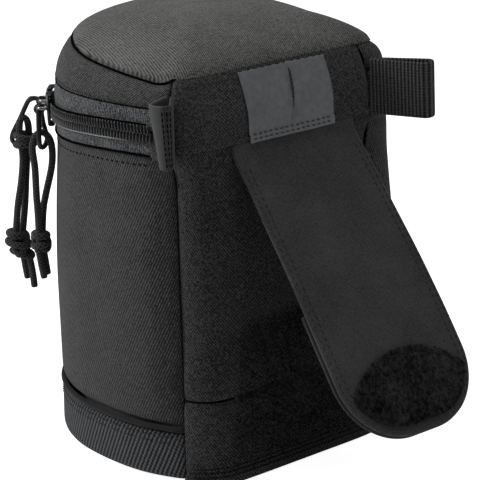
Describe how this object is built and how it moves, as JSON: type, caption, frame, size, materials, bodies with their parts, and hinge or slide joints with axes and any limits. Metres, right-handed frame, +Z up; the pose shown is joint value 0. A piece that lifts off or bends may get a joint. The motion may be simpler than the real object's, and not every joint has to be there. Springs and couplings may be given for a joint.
{
  "type": "lens pouch",
  "caption": "Padded upright lens pouch, D-shaped in plan, with a zipped domed lid that folds at the back, a fold-out belt flap, webbing side loops and knotted zip pull cords.",
  "frame": {"origin": "on the floor under the pouch, on the axis of its round front wall, about which the zip sliders travel", "axes": "+Z up; +Y out of the flat belt side; -Y out of the round front; +X to the side that carries the sliders"},
  "size_m": [0.1271, 0.1832, 0.1648],
  "materials": {
    "twill": "matt charcoal twill weave",
    "ribbed_cloth": "coarse ribbed weave",
    "piping": "dark woven piping",
    "back_cloth": "matt dark plain weave",
    "foam": "soft padding, not seen",
    "lining": "brushed grey lining",
    "pile": "fuzzy black loop pile",
    "hook": "black hook tape",
    "zip_tape": "fine ribbed tape, slightly blue",
    "zip_coil": "smooth black nylon coil",
    "webbing": "ribbed black webbing",
    "label": "bare smooth grey woven label",
    "flap_cloth": "smooth dark cloth",
    "slider_metal": "dark nickel",
    "pull_metal": "black enamel",
    "cord": "black braid"
  },
  "bodies": {
    "cup": {"wall_panel": "twill", "base_band": "ribbed_cloth", "base_piping": "piping", "back_panel": "back_cloth", "back_base_band": "back_cloth", "back_hem": "back_cloth", "bottom_panel": "ribbed_cloth", "wall_foam": "foam", "back_foam": "foam", "base_foam": "foam", "lining": "lining", "corner_ear_left": "twill", "corner_ear_right": "twill", "back_loop_patch": "pile", "flap_root": "flap_cloth", "lower_zip_tape": "zip_tape", "lower_zip_teeth": "zip_coil", "loop_left": "webbing", "loop_right": "webbing"},
    "lid": {"lid_top_panel": "twill", "lid_rim": "twill", "lid_foam": "foam", "lid_lining": "lining", "hinge_band": "back_cloth", "label": "label", "upper_zip_tape": "zip_tape", "upper_zip_teeth": "zip_coil"},
    "belt_flap": {"flap_panel": "flap_cloth", "flap_inner_ply": "flap_cloth", "flap_outer_patch": "pile", "flap_hook_patch": "hook"},
    "zip_slider_front": {"slider_front": "slider_metal"},
    "zip_slider_side": {"slider_side": "slider_metal"},
    "zip_pull_front": {"pull_front": "pull_metal", "pull_cord_front": "cord", "pull_knot_front": "cord"},
    "zip_pull_side": {"pull_side": "pull_metal", "pull_cord_side": "cord", "pull_knot_side": "cord"}
  },
  "joints": [
    {"name": "lid_hinge", "type": "hinge", "parent": "cup", "child": "lid", "pos_m": [0, 0.0525, 0.1246], "axis": [-1, 0, 0], "range_deg": [0, 95]},
    {"name": "flap_hinge", "type": "hinge", "parent": "cup", "child": "belt_flap", "pos_m": [0, 0.05353, 0.1195], "axis": [1, 0, 0], "range_deg": [-29, 29]},
    {"name": "front_slider_travel", "type": "hinge", "parent": "cup", "child": "zip_slider_front", "pos_m": [0, 0, 0.1275], "axis": [0, 0, 1], "range_deg": [-135, 0]},
    {"name": "side_slider_travel", "type": "hinge", "parent": "cup", "child": "zip_slider_side", "pos_m": [0, 0, 0.1275], "axis": [0, 0, 1], "range_deg": [0, 29]},
    {"name": "front_pull_swing", "type": "hinge", "parent": "zip_slider_front", "child": "zip_pull_front", "pos_m": [0.04692, -0.04151, 0.1275], "axis": [-0.6626, -0.749, 0], "range_deg": [0, 95]},
    {"name": "side_pull_swing", "type": "hinge", "parent": "zip_slider_side", "child": "zip_pull_side", "pos_m": [0.05426, -0.03132, 0.1275], "axis": [-0.5, -0.866, 0], "range_deg": [0, 95]}
  ]
}
